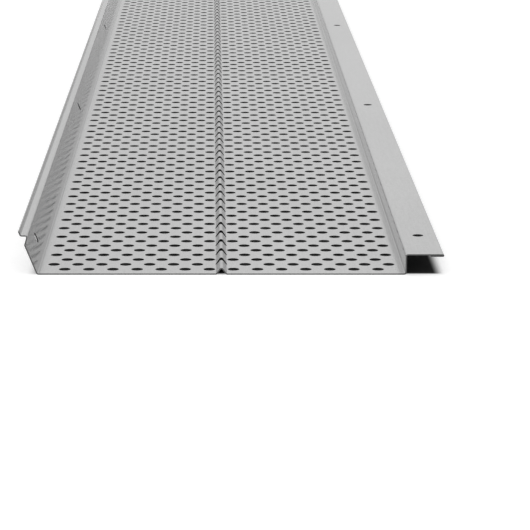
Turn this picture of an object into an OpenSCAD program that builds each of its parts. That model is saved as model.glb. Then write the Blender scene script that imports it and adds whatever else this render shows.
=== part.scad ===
// Perforated gutter guard: one sheet, roll-formed along its length.
// X runs across the gutter (rear lip at -X, screw flange at +X), Y along it, Z up.
// The origin is under the middle of the overall box, and the panel's underside is at Z = 0.

/* [Sheet] */
// Length of the piece (mm)
guard_l = 914.4; // [300:0.1:1220]
// Thickness of the sheet (mm)
sheet_t = 0.45; // [0.3:0.05:0.7]
// Width of the flat panel, from the foot of the rear wall to the foot of the front wall (mm)
panel_w = 130; // [80:0.1:180]
// Inner radius of the bends at both feet of the panel (mm)
foot_r = 0.5; // [0.3:0.1:2.5]
// Inner radius of the other bends (mm)
bend_r = 0.4; // [0.3:0.05:0.6]

/* [Stiffening rib] */
// Height of the rib's crest above the panel (mm)
rib_h = 2.05; // [1.5:0.05:3]
// Width of the rib at its foot (mm)
rib_w = 3.85; // [3.4:0.05:6]

/* [Rear wall] */
// Height of the knee above the panel (mm)
knee_h = 10.2; // [9:0.1:14]
// How far the knee stands out behind the foot of the wall (mm)
knee_out = 4.1; // [3:0.1:6]
// Height of the top strip above the knee (mm)
strip_rise = 3.6; // [3:0.1:6]
// How far the front edge of the top strip stands in front of the knee (mm)
strip_in = 0.75; // [0.6:0.05:2]
// Width of the top strip (mm)
strip_w = 2.3; // [2:0.1:5]
// Height of the rear lip above the top strip (mm)
lip_h = 1.5; // [1:0.05:3]
// How far the rear lip leans out behind the top strip (mm)
lip_out = 0.6; // [0.4:0.05:1.5]

/* [Front flange] */
// Height of the flange above the panel (mm)
flange_h = 7; // [5:0.1:15]
// Width of the flange in front of its wall (mm)
flange_w = 13.6; // [12:0.1:25]
// Width of the hem that is folded back under the flange (mm)
hem_w = 4.7; // [3:0.1:4.8]
// Gap between the flange and its hem (mm)
hem_gap = 0.1; // [0.1:0.05:0.5]

/* [Perforations] */
// Diameter of each perforation (mm)
hole_d = 4.1; // [2.5:0.05:5]
// Distance between neighbouring perforations, centre to centre (mm)
hole_pitch = 8.58; // [7:0.01:12]
// Least distance from a perforation's centre to a foot of the panel (mm)
hole_side_gap = 4.6; // [4:0.1:8]
// Distance from the front end to the middle of the first row, and the least at the far end (mm)
hole_end_gap = 6.5; // [4:0.1:10]

/* [Screw holes] */
// Diameter of each screw hole (mm)
screw_d = 3.9; // [3:0.1:4.5]
// Distance from an end of the piece to the nearest screw hole (mm)
screw_end = 30; // [10:0.5:60]
// Widest distance between neighbouring screw holes (mm)
screw_spacing = 290; // [150:1:400]
// Height of the rear wall's screw holes above the panel (mm)
screw_h = 6.1; // [4:0.1:8]

/* [Hidden] */

// Overrun of every cut past the faces that it goes through
cut = 0.5;
// About the step of the outline round a bend, in degrees
bend_step = 15;
// Sides that draw a round hole
hole_sides = 24;

// Upper-face radius of a bend that turns down, which is its outer radius
outer_r = bend_r + sheet_t;

// Angle of a straight stretch that ends tangent to an arc, from the offsets to the arc's centre
function tangent_angle(along, across, radius) =
    atan2(across, along) + asin(radius / norm([along, across]));

// The rib's crest is rounded, so its flanks aim at a point above it.
rib_aim = rib_w / 2 * tan(tangent_angle(rib_w / 2, rib_h - outer_r, outer_r));

// Heights of the flat stretches, all on the sheet's upper face
panel_z = sheet_t;
knee_z = panel_z + knee_h;
strip_z = knee_z + strip_rise;
flange_z = panel_z + flange_h;
hem_r = sheet_t + hem_gap / 2;

// The lip leans out, so the back of its tip is the rearmost edge.
lip_back = sheet_t * lip_h / norm([lip_out, lip_h]);

// Places across the guard, which put the middle of its whole width over the origin
rear_reach = panel_w / 2 + knee_out - strip_in + strip_w + lip_out + lip_back;
front_reach = panel_w / 2 + flange_w;
panel_x = (rear_reach - front_reach) / 2;
rear_foot = panel_x - panel_w / 2;
knee_x = rear_foot - knee_out;
strip_front = knee_x + strip_in;
strip_back = strip_front - strip_w;
lip_x = strip_back - lip_out;
front_foot = panel_x + panel_w / 2;
flange_edge = front_foot + flange_w;

// The strip's front bend is rounded, so the wall below it aims at a point past its front edge.
strip_lean = tangent_angle(strip_rise - outer_r, strip_in - outer_r, outer_r);
strip_aim = knee_x + strip_rise * tan(strip_lean);

// Bends along the sheet's upper face, from the rear lip to the flange: [across, height, inner radius]
bends = [
    [lip_x, strip_z + lip_h, 0],
    [strip_back, strip_z, bend_r],
    [strip_aim, strip_z, bend_r],
    [knee_x, knee_z, bend_r],
    [rear_foot, panel_z, foot_r],
    [panel_x - rib_w / 2, panel_z, bend_r],
    [panel_x, panel_z + rib_aim, bend_r],
    [panel_x + rib_w / 2, panel_z, bend_r],
    [front_foot, panel_z, foot_r],
    [front_foot, flange_z, bend_r],
    [flange_edge - hem_r, flange_z, 0],
];

function heading(a, b) = atan2(b[1] - a[1], b[0] - a[0]);
function ahead(angle) = [cos(angle), sin(angle)];
function to_right(angle) = [sin(angle), -cos(angle)];

// An arc of the upper face: [centre, radius, heading at its start, turn], where a left turn is above zero.
function arc_at(a, b, c) =
    let (
        start = heading(a, b),
        turn = (heading(b, c) - start + 540) % 360 - 180,
        side = sign(turn),
        radius = b[2] + (side < 0 ? sheet_t : 0),
        tangent = radius * tan(abs(turn) / 2)
    )
    [[b[0], b[1]] - tangent * ahead(start) - side * radius * to_right(start), radius, start, turn];

hem_arc = [[flange_edge - hem_r, flange_z - hem_r], hem_r, 0, -180];
arcs = concat(
    [for (i = [1 : len(bends) - 2]) arc_at(bends[i - 1], bends[i], bends[i + 1])],
    [hem_arc]
);

// Points of one arc, at a depth below the upper face. The odd number of steps leaves a flat in its middle,
// so the rib's crest has no edge along the line that the perforations' middles lie on.
function arc_points(arc, depth) =
    let (steps = 2 * ceil(abs(arc[3]) / bend_step / 2) - 1, side = sign(arc[3]))
    [
        for (i = [0 : steps])
            arc[0] + side * (arc[1] + side * depth) * to_right(arc[2] + arc[3] * i / steps)
    ];

lip_heading = heading(bends[0], bends[1]);
lip_tip = [bends[0][0], bends[0][1]];
hem_end = [flange_edge - hem_w, flange_z - 2 * hem_r];

// One face of the sheet as a line, at a depth below the upper face
function face_line(depth) = concat(
    [lip_tip + depth * to_right(lip_heading)],
    [for (arc = arcs) each arc_points(arc, depth)],
    [hem_end + [0, depth]]
);

function reversed(points) = [for (i = [len(points) - 1 : -1 : 0]) points[i]];

// Perforations lie in staggered rows, each hole the same distance from its six neighbours.
row_pitch = hole_pitch * sin(60);
rows = floor((guard_l - 2 * hole_end_gap) / row_pitch) + 1;
first_row = hole_end_gap - guard_l / 2;
half_cols = floor((panel_w / 2 - hole_side_gap) / (hole_pitch / 2));

// Screw holes stand in pairs, one in the flange and one in the rear wall.
screw_count = ceil((guard_l - 2 * screw_end) / screw_spacing) + 1;
screw_step = (guard_l - 2 * screw_end) / (screw_count - 1);
screw_x = front_foot + flange_w / 2;
wall_lean = atan2(knee_out, knee_h);
wall_screw = [rear_foot - screw_h * tan(wall_lean), panel_z + screw_h];

module section() {
    polygon(concat(face_line(0), reversed(face_line(sheet_t))));
}

module formed_sheet() {
    rotate([90, 0, 0])
        linear_extrude(height = guard_l, center = true)
            section();
}

// The rib is perforated with the panel, so every hole is cut up through its crest.
module perforation() {
    translate([0, 0, -cut])
        cylinder(h = panel_z + rib_h + 2 * cut, d = hole_d, $fn = hole_sides);
}

module perforation_row(row) {
    for (col = [-half_cols : half_cols])
        if (abs(row + col) % 2 == 1)
            translate([panel_x + col * hole_pitch / 2, 0, 0])
                perforation();
}

module perforations() {
    for (row = [0 : rows - 1])
        translate([0, first_row + row * row_pitch, 0])
            perforation_row(row);
}

// A screw hole through one thickness of the sheet, its axis at a right angle to the face
module screw_hole() {
    translate([0, 0, -sheet_t - cut])
        cylinder(h = sheet_t + 2 * cut, d = screw_d, $fn = hole_sides);
}

module screw_holes() {
    for (i = [0 : screw_count - 1])
        translate([0, screw_end - guard_l / 2 + i * screw_step, 0]) {
            translate([screw_x, 0, flange_z])
                screw_hole();
            translate([wall_screw[0], 0, wall_screw[1]])
                rotate([0, 90 - wall_lean, 0])
                    screw_hole();
        }
}

module guard_sheet() {
    color("#c3c5c6")
        difference() {
            formed_sheet();
            perforations();
            screw_holes();
        }
}

guard_sheet();
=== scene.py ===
"""A perforated gutter guard on a pale floor, seen along its length."""

import math

import bpy
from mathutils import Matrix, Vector


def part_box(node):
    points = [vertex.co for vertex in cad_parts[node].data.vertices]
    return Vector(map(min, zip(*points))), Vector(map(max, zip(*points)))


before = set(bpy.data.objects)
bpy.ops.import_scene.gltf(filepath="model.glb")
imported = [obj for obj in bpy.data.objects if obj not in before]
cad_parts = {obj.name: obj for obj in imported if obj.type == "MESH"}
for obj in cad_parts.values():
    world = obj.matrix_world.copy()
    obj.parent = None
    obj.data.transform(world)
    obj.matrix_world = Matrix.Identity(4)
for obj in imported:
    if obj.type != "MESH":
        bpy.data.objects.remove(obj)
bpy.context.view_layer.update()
low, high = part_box("guard_sheet")

MM = 0.001

# Sizes of the guard that its finish follows. The first two come from the frame, and the others are the ones
# that the part's source has.
GUARD_L = high.y - low.y
HALF_W = -low.x
SHEET_T = 0.45 * MM
PANEL_W = 130 * MM
FLANGE_W = 13.6 * MM
KNEE_H = 10.2 * MM
KNEE_OUT = 4.1 * MM
HOLE_D = 4.1 * MM
HOLE_PITCH = 8.58 * MM
HOLE_SIDE_GAP = 4.6 * MM
HOLE_END_GAP = 6.5 * MM
SCREW_D = 3.9 * MM
SCREW_END = 30 * MM
SCREW_COUNT = 4
SCREW_H = 6.1 * MM

# The panel's middle, and the angle by which the rear wall leans out
PANEL_X = HALF_W - FLANGE_W - PANEL_W / 2
WALL_LEAN = math.atan2(KNEE_OUT, KNEE_H)

# The staggered perforations
ROW_PITCH = HOLE_PITCH * math.sin(math.radians(60))
ROWS = math.floor((GUARD_L - 2 * HOLE_END_GAP) / ROW_PITCH) + 1
FIRST_ROW = HOLE_END_GAP - GUARD_L / 2
HALF_COLS = math.floor((PANEL_W / 2 - HOLE_SIDE_GAP) / (HOLE_PITCH / 2))

# The screw holes, which stand in pairs: one in the flange and one in the rear wall
SCREW_STEP = (GUARD_L - 2 * SCREW_END) / (SCREW_COUNT - 1)
FLANGE_SCREW_X = PANEL_X + PANEL_W / 2 + FLANGE_W / 2
WALL_SCREW_X = PANEL_X - PANEL_W / 2 - SCREW_H * math.tan(WALL_LEAN)
WALL_SCREW_Z = SHEET_T + SCREW_H

# The metal, and the noises that vary it. A noise's scale is per metre, its stretch is along X, Y and Z, and
# most of its values lie in the range that is given last.
SHEET_TONE = 0.593
SHEET_METAL = 0.9
SHEET_EDGE_TINT = 0.79
SHEET_ROUGH = 0.14
SHEET_GRAIN = 0.78
GRAIN = {"scale": 2600, "stretch": (1, 0.035, 1), "detail": 3}
GRAIN_TONE = 0.02
GRAIN_ROUGH = 0.015
GRAIN_HEIGHT = 0.004 * MM
MOTTLE = {"scale": 900, "stretch": (1, 0.8, 1), "detail": 2}
MOTTLE_TONE = 0.02
CLOUD = {"scale": 22, "stretch": (1, 0.4, 1), "detail": 2}
CLOUD_TONE = 0.015
CLOUD_ROUGH = 0.01
NOISE_RANGE = (0.3, 0.7)

# The rims that the punch drew in, and the cut faces, darkened by painted shade: at the ends a dull cut face
# made darker, and in the holes nearly black
RIM_REACH = 0.3 * MM
RIM_DEPTH = 0.05 * MM
CUT_DEPTH = 0.02 * MM
CUT_ROUGH = 0.55
END_SHARE = 0.21
HOLE_PAINTED_SHADE = 0.08

# The rib's duller surface, how far it reaches to either side of the rib's middle, and the share of that reach
# where it is full
RIB_ROUGH = 0.36
RIB_REACH = 2.1 * MM
RIB_FULL_SHARE = 0.9

# The painted shade at the foot of both walls, darker in the fold, the height of its middle above the panel,
# and how far it reaches up and down and across
FOLD_SHARE = 0.74
FOLD_RISE = 0.085 * MM
FOLD_REACH = 0.14 * MM
FOLD_WIDTH = 0.6 * MM

# The camera, measured on the photograph: it looks straight along the guard, a little down
PHOTO_PX = 530
FOCAL_PX = 2354.72
AXIS_U_PX = 211.85
SENSOR = 36.0
CAMERA_PITCH = 13.5097
CAMERA_X = PANEL_X - 3.4 * MM
CAMERA_ABOVE_PANEL = 197.287 * MM
CAMERA_BEFORE_END = 808.277 * MM
CAMERA_CLIP = (0.01, 50)

# The floor, and the painted shade on it under the guard, and where that dark part fades, across the guard and
# before its ends
FLOOR_SIZE = 30.0
FLOOR_COLOUR = (0.86, 0.86, 0.86, 1)
FLOOR_GLOW = 0.4
PAINTED_SHADE_COLOUR = (0.03, 0.03, 0.03, 1)
SHADE_REAR = (-73 * MM, -65 * MM)
SHADE_FRONT = (71.5 * MM, 76 * MM)
SHADE_END = 3 * MM

# The sky, and over which directions it darkens to the horizon, to the left and to the right
SKY_LIGHT = 1.19
HORIZON_SHARE = 0.88
HORIZON_FADE = (0, 0.25)
LEFT_SHARE = 0.86
LEFT_FADE = (-0.4, 0.1)
RIGHT_SHARE = 0.84
RIGHT_FADE = (0.05, 0.25)

# The lamp
LAMP_POWER = 1
LAMP_PLACE = (0.6, 0.1, 1.6)
LAMP_SIZE = (1.6, 2.2)


class Nodes:
    """Short calls that build one node tree."""

    def __init__(self, tree):
        self.tree = tree
        tree.nodes.clear()

    def add(self, kind, **settings):
        node = self.tree.nodes.new(kind)
        for name, value in settings.items():
            setattr(node, name, value)
        return node

    def put(self, value, socket):
        """Links a socket, or sets a constant."""
        if isinstance(value, bpy.types.NodeSocket):
            self.tree.links.new(value, socket)
        else:
            socket.default_value = value

    def math(self, operation, *values):
        node = self.add("ShaderNodeMath", operation=operation)
        for value, socket in zip(values, node.inputs):
            self.put(value, socket)
        return node.outputs[0]

    def chain(self, operation, result, *others):
        """The operation on the first two values, then on its result and the third, and so on."""
        for other in others:
            result = self.math(operation, result, other)
        return result

    def distance(self, value, middle):
        """How far a value is from a middle."""
        return self.math("ABSOLUTE", self.math("SUBTRACT", value, middle))

    def squares(self, first, second):
        """The sum of two squares."""
        return self.math("ADD", self.math("MULTIPLY", first, first), self.math("MULTIPLY", second, second))

    def ramp(self, value, low, high, to_low, to_high, smooth=True):
        node = self.add("ShaderNodeMapRange")
        if smooth:
            node.interpolation_type = "SMOOTHSTEP"
        for given, socket in zip((value, low, high, to_low, to_high), node.inputs):
            self.put(given, socket)
        return node.outputs[0]

    def share_where(self, mask, share):
        """The share where the mask is 1, and 1 where it is 0."""
        return self.ramp(mask, 0, 1, 1, share, smooth=False)

    def swing(self, noise, amount):
        """A noise as a value between -amount and amount."""
        return self.ramp(noise, *NOISE_RANGE, -amount, amount)

    def mix_colour(self, share, first, second):
        """Of the Mix node's many sockets, these are the ones that it uses for colours."""
        node = self.add("ShaderNodeMix", data_type="RGBA")
        for value, place in ((share, 0), (first, 6), (second, 7)):
            self.put(value, node.inputs[place])
        return node.outputs[2]

    def place(self, kind="Object"):
        """The shaded point in metres, or the direction in a world, and its X, Y and Z."""
        coordinates = self.add("ShaderNodeTexCoord")
        split = self.add("ShaderNodeSeparateXYZ")
        self.put(coordinates.outputs[kind], split.inputs[0])
        return coordinates.outputs[kind], split.outputs

    def noise(self, vector, scale, stretch, detail):
        scaled = self.add("ShaderNodeMapping")
        self.put(vector, scaled.inputs["Vector"])
        scaled.inputs["Scale"].default_value = stretch
        node = self.add("ShaderNodeTexNoise")
        self.put(scaled.outputs[0], node.inputs["Vector"])
        node.inputs["Scale"].default_value = scale
        node.inputs["Detail"].default_value = detail
        return node.outputs["Fac"]


def hole_distance(nodes, x, y):
    """Distance from a point of the panel to the centre of the nearest perforation."""

    def to_row_set(shift_x, shift_y):
        across = nodes.math("SUBTRACT", x, PANEL_X + shift_x)
        along = nodes.math("SUBTRACT", y, FIRST_ROW + shift_y)
        across = nodes.math("WRAP", across, HOLE_PITCH / 2, -HOLE_PITCH / 2)
        along = nodes.math("WRAP", along, ROW_PITCH, -ROW_PITCH)
        return nodes.math("SQRT", nodes.squares(across, along))

    return nodes.math("MINIMUM", to_row_set(HOLE_PITCH / 2, 0), to_row_set(0, ROW_PITCH))


def in_field(nodes, x, y):
    """1 where the panel is perforated, and 0 past the outermost perforations."""
    margin = HOLE_D / 2 + CUT_DEPTH
    half_w = HALF_COLS * HOLE_PITCH / 2
    half_l = (ROWS - 1) * ROW_PITCH / 2
    across = nodes.math("LESS_THAN", nodes.distance(x, PANEL_X), half_w + margin)
    along = nodes.math("LESS_THAN", nodes.distance(y, FIRST_ROW + half_l), half_l + margin)
    return nodes.math("MULTIPLY", across, along)


def in_screw_hole(nodes, x, y, z):
    """1 on the cut walls of the screw holes, in the flange and in the rear wall."""
    along = nodes.math("SUBTRACT", nodes.math("WRAP", y, SCREW_STEP, 0), SCREW_STEP / 2)
    reach = SCREW_D / 2 + CUT_DEPTH

    def within(offset):
        return nodes.math("LESS_THAN", nodes.squares(along, offset), reach**2)

    flange = within(nodes.math("SUBTRACT", x, FLANGE_SCREW_X))
    out = nodes.math("MULTIPLY", nodes.math("SUBTRACT", WALL_SCREW_X, x), math.sin(WALL_LEAN))
    up = nodes.math("MULTIPLY", nodes.math("SUBTRACT", z, WALL_SCREW_Z), math.cos(WALL_LEAN))
    wall = nodes.math("MULTIPLY", within(nodes.math("ADD", out, up)), nodes.math("LESS_THAN", x, 0))
    return nodes.math("MAXIMUM", flange, wall)


def painted_fold_shade(nodes, x, z):
    """Painted shade: a share of the sheet's tone in a thin band at the foot of both walls, and 1 elsewhere.
    """
    from_band = nodes.distance(z, SHEET_T + FOLD_RISE)
    shade = nodes.ramp(from_band, FOLD_REACH / 2, FOLD_REACH, FOLD_SHARE, 1)
    from_foot = nodes.distance(nodes.distance(x, PANEL_X), PANEL_W / 2)
    return nodes.math("MAXIMUM", shade, nodes.math("GREATER_THAN", from_foot, FOLD_WIDTH))


def aluminium():
    """Mill-finish aluminium sheet: a fine rolling grain, soft mottling, rims that the punch drew in, dull cut
    faces darkened with painted shade, a duller rib, and a painted shade at the foot of both walls."""
    material = bpy.data.materials.new("aluminium")
    material.use_nodes = True
    nodes = Nodes(material.node_tree)
    vector, (x, y, z) = nodes.place()

    grain = nodes.noise(vector, **GRAIN)
    mottle = nodes.noise(vector, **MOTTLE)
    cloud = nodes.noise(vector, **CLOUD)

    field = in_field(nodes, x, y)
    from_rim = nodes.math("SUBTRACT", hole_distance(nodes, x, y), HOLE_D / 2)
    rim = nodes.math("MULTIPLY", nodes.ramp(from_rim, 0, RIM_REACH, 1, 0), field)
    in_perforation = nodes.math("MULTIPLY", nodes.math("LESS_THAN", from_rim, CUT_DEPTH), field)
    in_hole = nodes.math("MAXIMUM", in_perforation, in_screw_hole(nodes, x, y, z))
    on_end = nodes.math("GREATER_THAN", nodes.math("ABSOLUTE", y), GUARD_L / 2 - CUT_DEPTH)
    on_cut = nodes.math("MAXIMUM", on_end, in_hole)
    on_rib = nodes.ramp(nodes.distance(x, PANEL_X), RIB_REACH * RIB_FULL_SHARE, RIB_REACH, 1, 0)

    tones = (nodes.swing(mottle, MOTTLE_TONE), nodes.swing(cloud, CLOUD_TONE), nodes.swing(grain, GRAIN_TONE))
    tone = nodes.chain("ADD", SHEET_TONE, *tones)
    # Painted shade on the cut faces: the walls of the holes are made nearly black, and the ends darker than a
    # dull cut face.
    cut_shades = (nodes.share_where(on_end, END_SHARE), nodes.share_where(in_hole, HOLE_PAINTED_SHADE))
    # Painted shade in a thin band at the foot of both walls darkens the tone there.
    tone = nodes.chain("MULTIPLY", tone, painted_fold_shade(nodes, x, z), *cut_shades)
    colour = nodes.add("ShaderNodeCombineColor")
    for channel in colour.inputs[:3]:
        nodes.put(tone, channel)

    rough = nodes.chain("ADD", SHEET_ROUGH, nodes.swing(grain, GRAIN_ROUGH), nodes.swing(cloud, CLOUD_ROUGH))
    rib_rough = nodes.math("MULTIPLY", on_rib, RIB_ROUGH)
    cut_rough = nodes.math("MULTIPLY", on_cut, CUT_ROUGH)
    rough = nodes.chain("MAXIMUM", rough, rib_rough, cut_rough)

    # The height is in metres, so the bump's strength and distance are 1.
    raised = nodes.math("MULTIPLY", grain, GRAIN_HEIGHT)
    sunk = nodes.math("MULTIPLY", rim, RIM_DEPTH)
    bump = nodes.add("ShaderNodeBump")
    bump.inputs["Strength"].default_value = 1
    bump.inputs["Distance"].default_value = 1
    nodes.put(nodes.math("SUBTRACT", raised, sunk), bump.inputs["Height"])

    shader = nodes.add("ShaderNodeBsdfPrincipled")
    shader.inputs["Metallic"].default_value = SHEET_METAL
    shader.inputs["Specular Tint"].default_value = (SHEET_EDGE_TINT, SHEET_EDGE_TINT, SHEET_EDGE_TINT, 1)
    shader.inputs["Anisotropic"].default_value = SHEET_GRAIN
    nodes.put(colour.outputs[0], shader.inputs["Base Color"])
    nodes.put(rough, shader.inputs["Roughness"])
    nodes.put(bump.outputs[0], shader.inputs["Normal"])
    across_grain = nodes.add("ShaderNodeTangent", direction_type="RADIAL", axis="Y")
    nodes.put(across_grain.outputs[0], shader.inputs["Tangent"])
    output = nodes.add("ShaderNodeOutputMaterial")
    nodes.put(shader.outputs[0], output.inputs["Surface"])
    return material


def floor_material():
    """A pale floor that looks white, painted dark where the guard covers it: painted shade standing in for
    the shaded hollow of a gutter under the guard.
    """
    material = bpy.data.materials.new("floor")
    material.use_nodes = True
    nodes = Nodes(material.node_tree)
    _, (x, y, _) = nodes.place()
    half_l = GUARD_L / 2
    # Painted shade: dark where the guard covers the floor, fading out under the flange, by the rear wall's
    # foot and before the ends; there the floor doesn't glow.
    lengthways = nodes.ramp(nodes.math("ABSOLUTE", y), half_l - SHADE_END, half_l, 1, 0)
    rear = nodes.ramp(x, *SHADE_REAR, 0, 1)
    front = nodes.ramp(x, *SHADE_FRONT, 1, 0)
    painted_shade = nodes.chain("MULTIPLY", lengthways, rear, front)
    diffuse = nodes.add("ShaderNodeBsdfDiffuse")
    nodes.put(nodes.mix_colour(painted_shade, FLOOR_COLOUR, PAINTED_SHADE_COLOUR), diffuse.inputs["Color"])

    ray = nodes.add("ShaderNodeLightPath").outputs
    seen = nodes.chain("MAXIMUM", ray["Is Camera Ray"], ray["Is Glossy Ray"], ray["Is Transmission Ray"])
    open_floor = nodes.math("SUBTRACT", 1, painted_shade)
    glow = nodes.add("ShaderNodeEmission")
    glow.inputs["Color"].default_value = (1, 1, 1, 1)
    nodes.put(nodes.chain("MULTIPLY", seen, open_floor, FLOOR_GLOW), glow.inputs["Strength"])
    both = nodes.add("ShaderNodeAddShader")
    nodes.put(diffuse.outputs[0], both.inputs[0])
    nodes.put(glow.outputs[0], both.inputs[1])
    output = nodes.add("ShaderNodeOutputMaterial")
    nodes.put(both.outputs[0], output.inputs["Surface"])
    return material


def make_floor():
    bpy.ops.mesh.primitive_plane_add(size=FLOOR_SIZE, location=(0, 0, low.z))
    floor = bpy.context.object
    floor.name = "floor"
    floor.data.materials.append(floor_material())


def make_world():
    """A plain sky, a little darker at the horizon and to both sides."""
    world = bpy.data.worlds.new("studio")
    bpy.context.scene.world = world
    world.use_nodes = True
    nodes = Nodes(world.node_tree)
    _, (x, _, z) = nodes.place("Generated")
    horizon = nodes.ramp(z, *HORIZON_FADE, HORIZON_SHARE, 1)
    left = nodes.ramp(x, *LEFT_FADE, LEFT_SHARE, 1)
    right = nodes.ramp(x, *RIGHT_FADE, 1, RIGHT_SHARE)
    background = nodes.add("ShaderNodeBackground")
    nodes.put(nodes.chain("MULTIPLY", SKY_LIGHT, horizon, left, right), background.inputs["Strength"])
    output = nodes.add("ShaderNodeOutputWorld")
    nodes.put(background.outputs[0], output.inputs["Surface"])


def make_lamp():
    """A wide lamp overhead, aimed at the middle of the guard."""
    light = bpy.data.lights.new("overhead", "AREA")
    light.shape = "RECTANGLE"
    light.size, light.size_y = LAMP_SIZE
    light.energy = LAMP_POWER
    holder = bpy.data.objects.new("overhead", light)
    bpy.context.scene.collection.objects.link(holder)
    holder.location = LAMP_PLACE
    holder.rotation_euler = (-Vector(LAMP_PLACE)).to_track_quat("-Z", "Y").to_euler()


def make_camera():
    camera = bpy.data.cameras.new("camera")
    camera.sensor_width = SENSOR
    camera.lens = SENSOR * FOCAL_PX / PHOTO_PX
    camera.shift_x = (PHOTO_PX / 2 - AXIS_U_PX) / PHOTO_PX
    camera.clip_start, camera.clip_end = CAMERA_CLIP
    holder = bpy.data.objects.new("camera", camera)
    bpy.context.scene.collection.objects.link(holder)
    holder.location = (CAMERA_X, low.y - CAMERA_BEFORE_END, low.z + SHEET_T + CAMERA_ABOVE_PANEL)
    holder.rotation_euler = (math.radians(90 - CAMERA_PITCH), 0, 0)
    bpy.context.scene.camera = holder


bpy.context.scene.view_settings.view_transform = "Standard"
make_camera()
make_world()
make_lamp()
make_floor()

metal = aluminium()
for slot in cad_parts["guard_sheet"].material_slots:
    slot.material = metal
